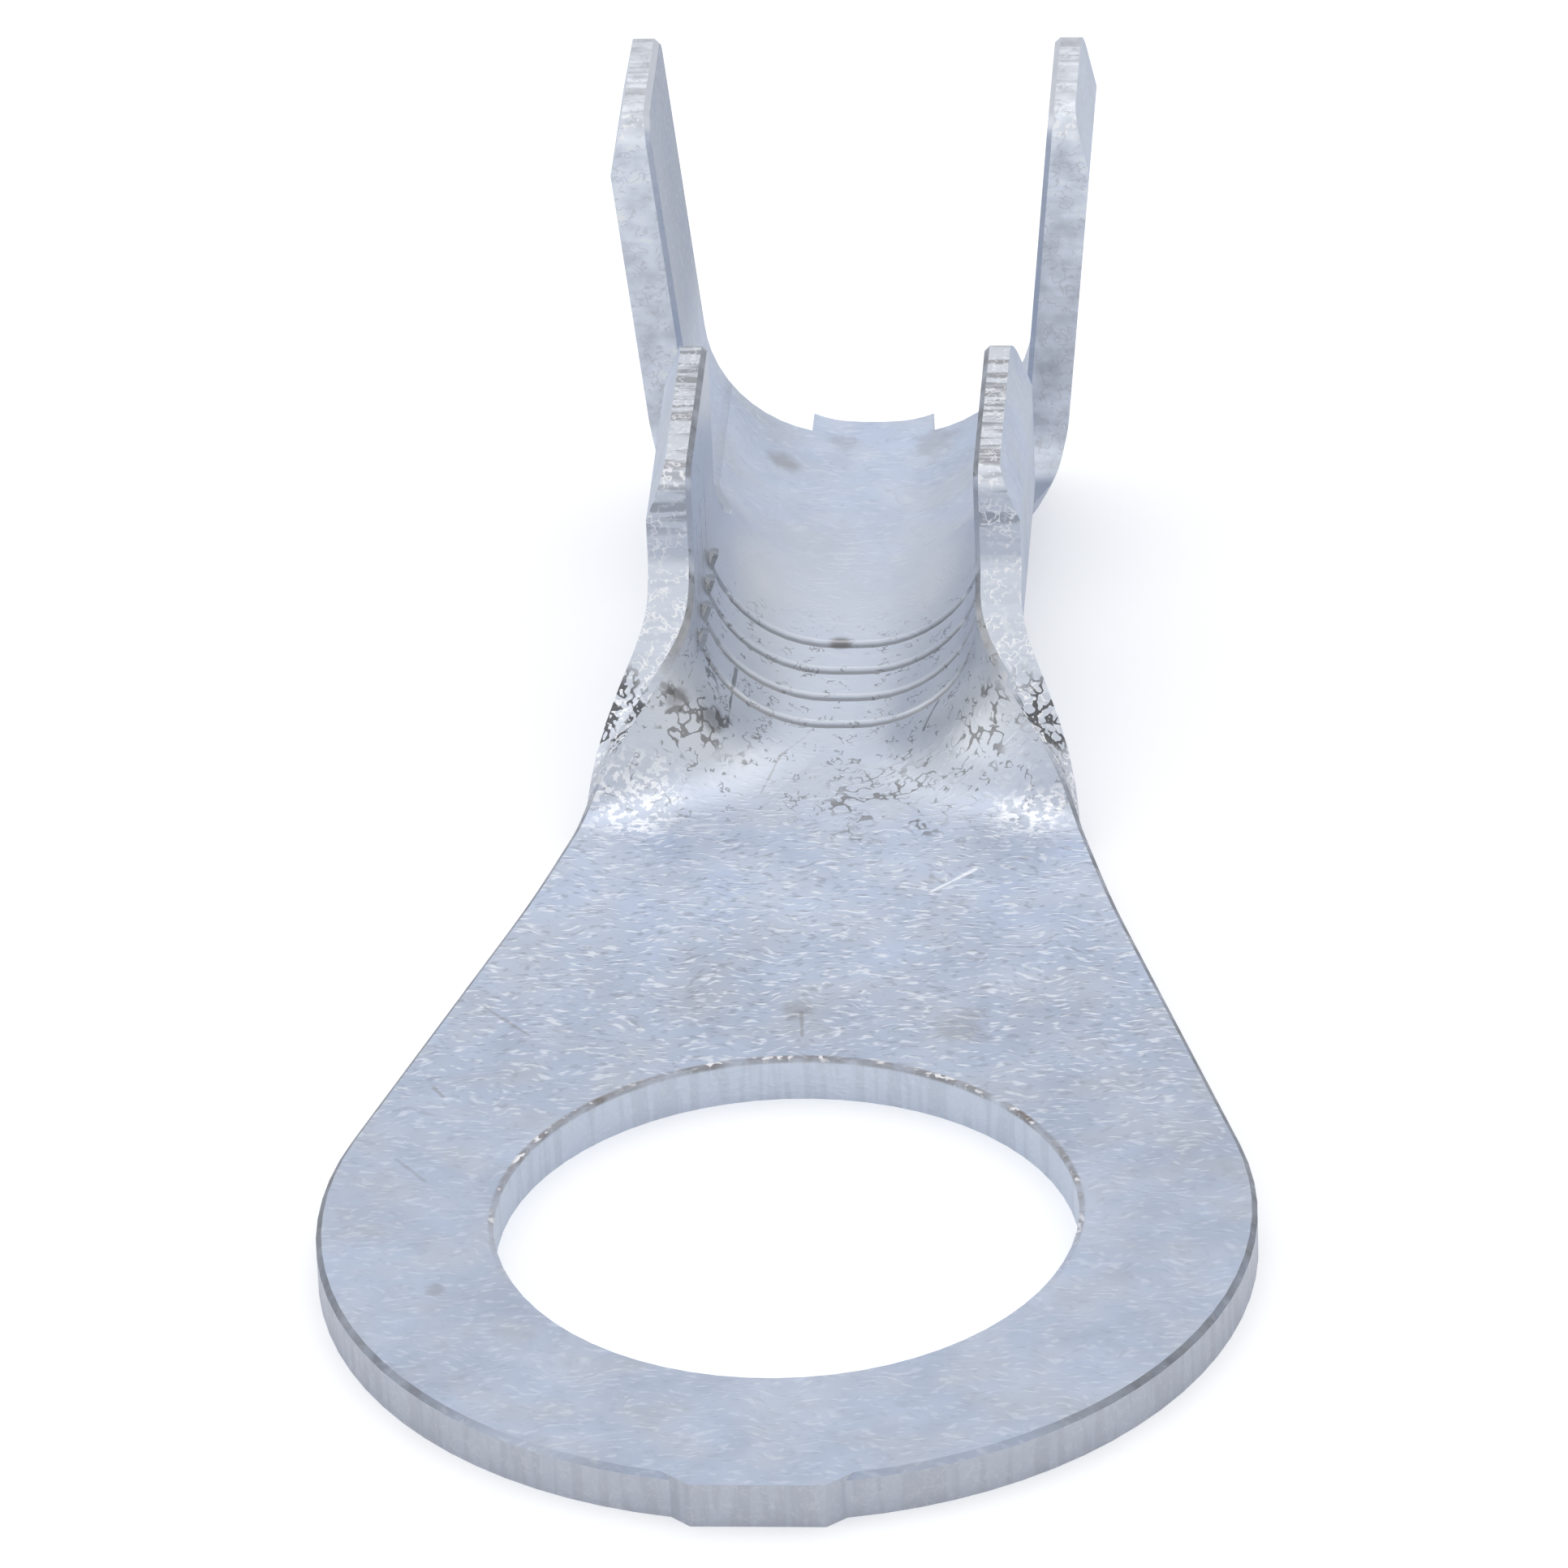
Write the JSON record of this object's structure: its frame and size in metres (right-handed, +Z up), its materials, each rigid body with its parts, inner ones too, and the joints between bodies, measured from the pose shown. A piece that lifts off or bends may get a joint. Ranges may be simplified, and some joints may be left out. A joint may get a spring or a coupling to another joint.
{
  "type": "ring terminal",
  "caption": "Open-barrel ring terminal folded from tinned sheet: ring with stud hole, tapering tongue, wire barrel with serrations and taller insulation barrel.",
  "frame": {"origin": "centre of the stud hole on the underside of the ring", "axes": "+Y from the ring along the two crimp barrels, +Z up out of the open barrels and along the stud hole, +X to the right seen from the ring end"},
  "size_m": [0.0134, 0.0301, 0.0079],
  "materials": {
    "tinned_brass": "satin tin plating over brass sheet, pale bluish grey"
  },
  "bodies": {
    "root": {"ring_terminal": "tinned_brass"}
  },
  "joints": []
}
